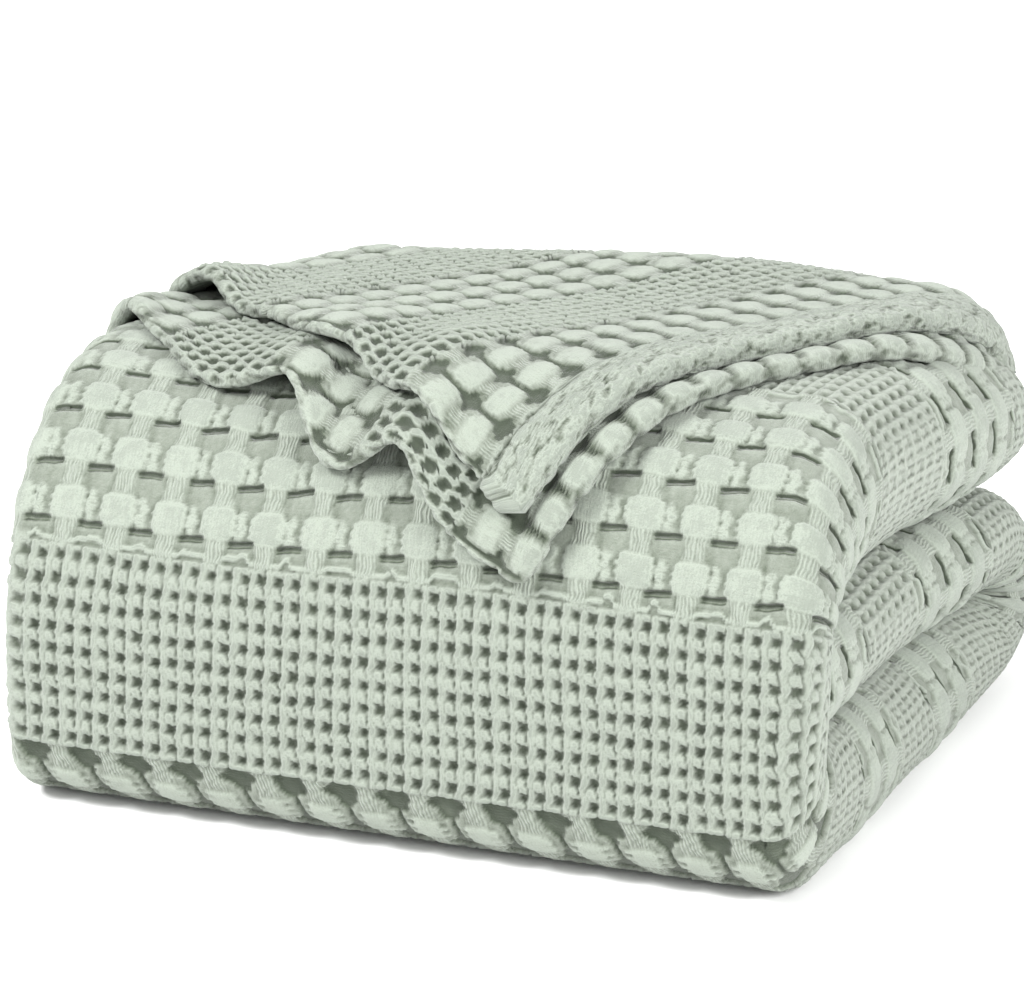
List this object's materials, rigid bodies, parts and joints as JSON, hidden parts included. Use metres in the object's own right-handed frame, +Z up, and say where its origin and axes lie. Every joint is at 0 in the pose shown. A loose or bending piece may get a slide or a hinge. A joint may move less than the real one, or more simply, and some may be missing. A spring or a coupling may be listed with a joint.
{
  "type": "waffle weave cotton blanket",
  "caption": "Thick waffle weave cotton blanket, folded into a stack with soft rolled sides and a loose hemmed flap lying over its top.",
  "frame": {"origin": "centre of the bounding box at the surface that the folded blanket lies on", "axes": "+X to the side of the rolled folds, -Y to the front face that the flap hangs over, +Z up"},
  "size_m": [0.3224, 0.2728, 0.1826],
  "materials": {
    "blanket_cotton": "matt cotton, pale sage green, woven in bands of small waffle cells and larger puffed squares"
  },
  "bodies": {
    "root": {"blanket": "blanket_cotton"}
  },
  "joints": []
}
